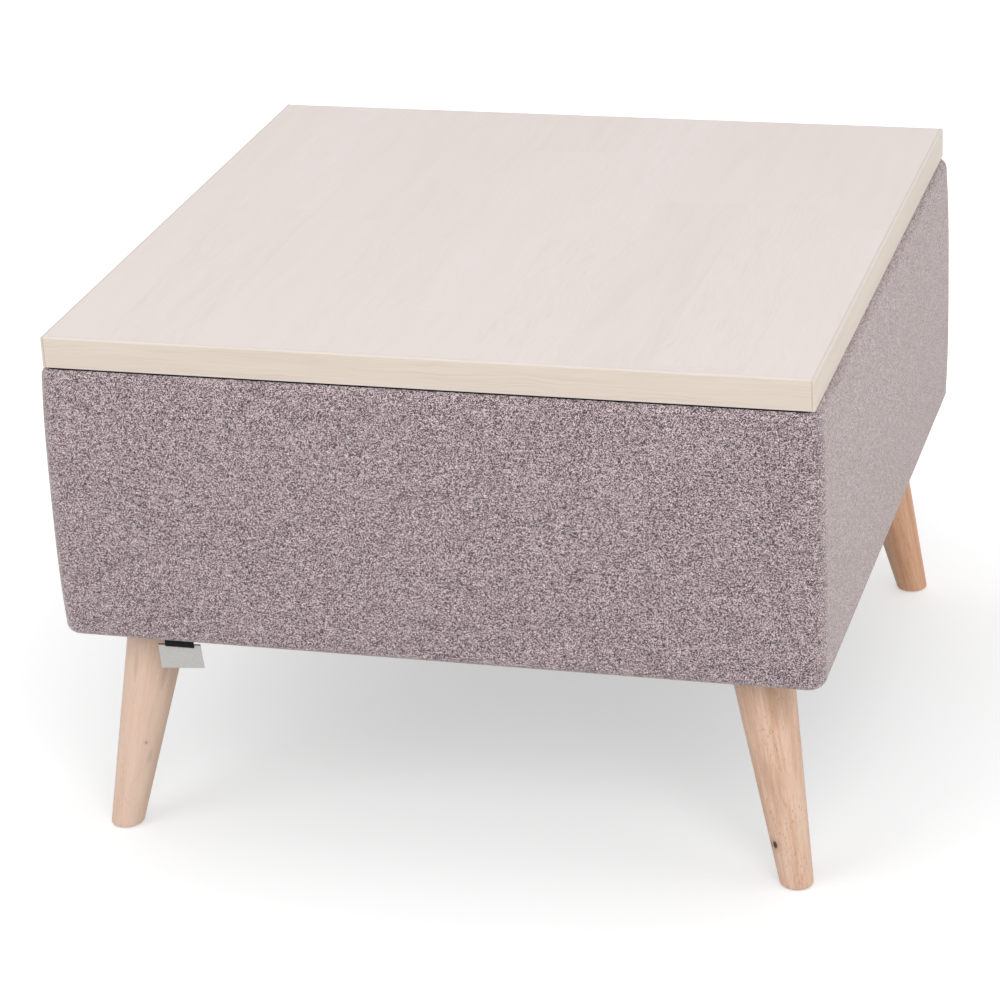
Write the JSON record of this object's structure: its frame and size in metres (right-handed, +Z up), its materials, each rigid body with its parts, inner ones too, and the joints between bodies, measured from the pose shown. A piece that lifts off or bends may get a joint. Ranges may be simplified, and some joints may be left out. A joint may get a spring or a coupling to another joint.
{
  "type": "coffee table",
  "caption": "Square low coffee table: pale wood-look top on a padded fabric-covered box, standing on splayed tapered wooden legs.",
  "frame": {"origin": "on the floor, under the middle of the table", "axes": "+X to the right along the front, +Y from the front to the back, +Z up"},
  "size_m": [0.616, 0.616, 0.43],
  "materials": {
    "top_laminate": "pale wood-look laminate, satin, with faint grain from front to back",
    "edge_band": "2 mm wood-look edge band with fine lengthwise grain and rounded edges",
    "chipboard": "raw chipboard, hidden",
    "softwood": "sawn softwood, hidden",
    "foam": "open-cell upholstery foam, hidden",
    "cover_fabric": "mauve-grey melange weave with dark and pale flecks, matt",
    "dust_cloth": "black non-woven",
    "beech": "pale beech with fine lengthwise grain and a few small knots, satin lacquer",
    "steel": "zinc plated",
    "nylon": "grey nylon",
    "label_cloth": "bare pale woven tag",
    "tape_cloth": "black woven tape"
  },
  "bodies": {
    "root": {"top_board": "top_laminate", "edge_band_front": "edge_band", "edge_band_back": "edge_band", "edge_band_left": "edge_band", "edge_band_right": "edge_band", "deck_panel": "chipboard", "base_panel": "chipboard", "side_panel_front": "chipboard", "side_panel_back": "chipboard", "side_panel_left": "chipboard", "side_panel_right": "chipboard", "corner_block_front_left": "softwood", "corner_block_front_right": "softwood", "corner_block_back_right": "softwood", "corner_block_back_left": "softwood", "foam_wrap": "foam", "fabric_cover": "cover_fabric", "dust_cover": "dust_cloth", "leg_front_left": "beech", "leg_front_right": "beech", "leg_back_right": "beech", "leg_back_left": "beech", "glide_front_left": "nylon", "glide_front_right": "nylon", "glide_back_right": "nylon", "glide_back_left": "nylon", "hanger_bolt_front_left": "steel", "hanger_bolt_front_right": "steel", "hanger_bolt_back_right": "steel", "hanger_bolt_back_left": "steel", "insert_nut_front_left": "steel", "insert_nut_front_right": "steel", "insert_nut_back_right": "steel", "insert_nut_back_left": "steel", "top_screw_front_left": "steel", "top_screw_front_right": "steel", "top_screw_back_right": "steel", "top_screw_back_left": "steel", "deck_screw_front_1": "steel", "deck_screw_front_2": "steel", "deck_screw_back_1": "steel", "deck_screw_back_2": "steel", "deck_screw_left_1": "steel", "deck_screw_left_2": "steel", "deck_screw_right_1": "steel", "deck_screw_right_2": "steel", "base_screw_front_1": "steel", "base_screw_front_2": "steel", "base_screw_back_1": "steel", "base_screw_back_2": "steel", "base_screw_left_1": "steel", "base_screw_left_2": "steel", "base_screw_right_1": "steel", "base_screw_right_2": "steel", "label": "label_cloth", "label_tape": "tape_cloth"}
  },
  "joints": []
}
